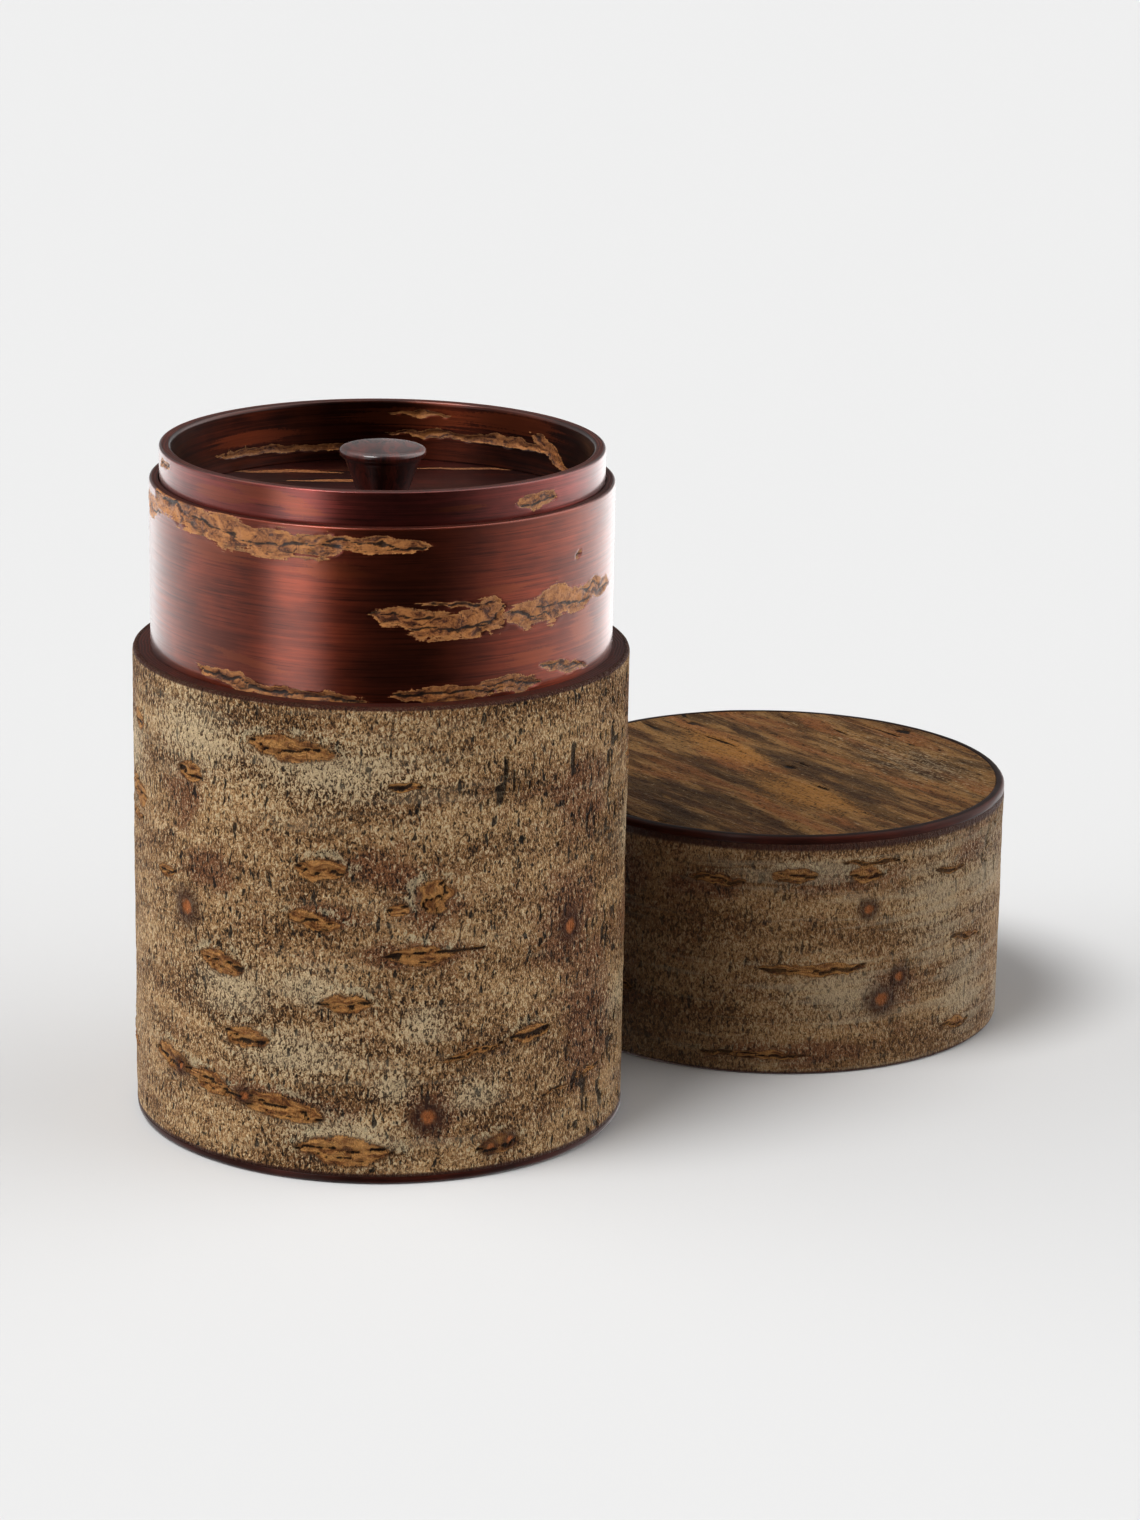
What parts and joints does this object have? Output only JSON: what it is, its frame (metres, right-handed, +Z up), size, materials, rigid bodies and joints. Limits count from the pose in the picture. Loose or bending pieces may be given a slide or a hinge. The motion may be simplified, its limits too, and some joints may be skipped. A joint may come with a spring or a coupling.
{
  "type": "tea caddy",
  "caption": "Round bark-clad wooden tea caddy, open: tube with a polished neck, cup-shaped inner lid with a turned knob, and an outer cap standing beside it.",
  "frame": {"origin": "centre of the underside of the caddy's base, on the table", "axes": "+Z up along the caddy's axis; +X to the right and +Y to the back as the caddy is seen from its front, with the cap standing to the right and behind"},
  "size_m": [0.1488, 0.1309, 0.1108],
  "materials": {
    "raw_bark": "rough natural cherry bark with a pale grey bloom",
    "polished_bark": "scraped and polished cherry bark, glossy red brown",
    "wound_core": "wound wood veneer, end grain stained dark and waxed",
    "board_wood": "planed light wood, hidden inside",
    "lining_veneer": "smooth bare wood veneer",
    "turned_wood": "turned hardwood, polished dark red brown"
  },
  "bodies": {
    "caddy": {"tube_bark": "raw_bark", "tube_core": "wound_core", "base_edge_band": "polished_bark", "base_board": "board_wood", "base_bark": "polished_bark", "neck_bark": "polished_bark", "neck_core": "wound_core", "neck_lining": "lining_veneer", "floor_lining": "lining_veneer"},
    "inner_lid": {"lid_ring_bark": "polished_bark", "lid_ring_core": "wound_core", "lid_ring_lining": "polished_bark", "lid_board": "board_wood", "lid_floor_bark": "polished_bark", "lid_underside_bark": "polished_bark", "lid_knob": "turned_wood"},
    "cap": {"cap_bark": "raw_bark", "cap_core": "wound_core", "cap_lining": "lining_veneer", "cap_board": "board_wood", "cap_top_bark": "raw_bark", "cap_edge_band": "polished_bark", "cap_ceiling_bark": "lining_veneer"}
  },
  "joints": [
    {"name": "inner_lid", "type": "slide", "parent": "caddy", "child": "inner_lid", "axis": [0, 0, 1], "range_m": [0, 0.03]},
    {"name": "cap", "type": "slide", "parent": "caddy", "child": "cap", "axis": [0, 0, 1], "range_m": [0, 0.13]}
  ]
}
